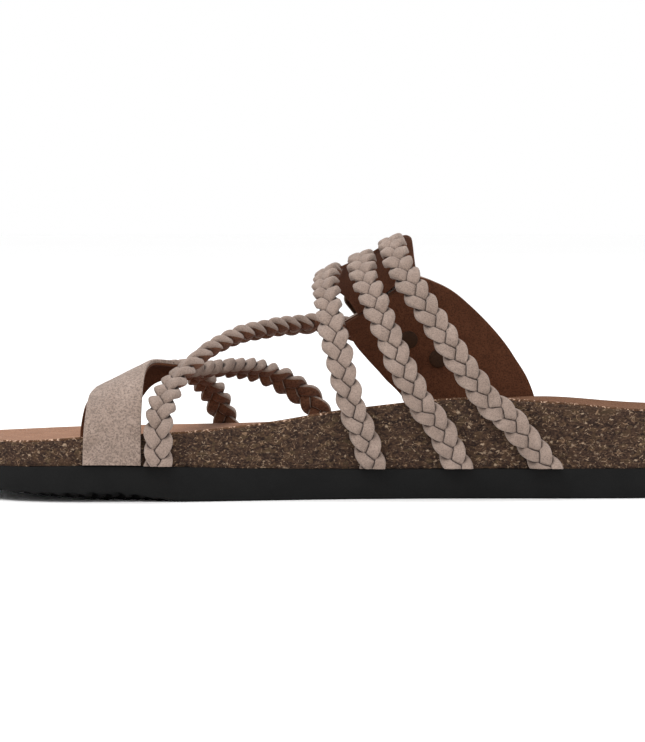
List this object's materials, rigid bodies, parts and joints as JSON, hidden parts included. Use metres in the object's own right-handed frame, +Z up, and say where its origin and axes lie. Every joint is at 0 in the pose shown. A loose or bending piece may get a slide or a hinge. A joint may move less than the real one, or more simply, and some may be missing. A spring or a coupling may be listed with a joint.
{
  "type": "toe loop sandal",
  "caption": "Right slide sandal: cork footbed on a flat foam outsole, suede toe loop, braided straps across the foot, and an instep strap buckled on the outer side.",
  "frame": {"origin": "on the floor, below the middle of the sandal's length and width", "axes": "+X from toe to heel, +Y to the outer (lateral) side, +Z up"},
  "size_m": [0.2512, 0.0974, 0.0854],
  "materials": {
    "foam": "matte black moulded foam",
    "cork": "pressed brown cork crumb, matte",
    "lining": "tan suede",
    "suede": "stone suede, brown on the inner face",
    "metal": "dark bronze, satin"
  },
  "bodies": {
    "root": {"outsole": "foam", "footbed": "cork", "insole": "lining", "upper": "suede", "instep_strap": "suede", "buckle_frame": "metal", "buckle_prong": "metal", "rivet_1": "metal", "rivet_2": "metal"}
  },
  "joints": []
}
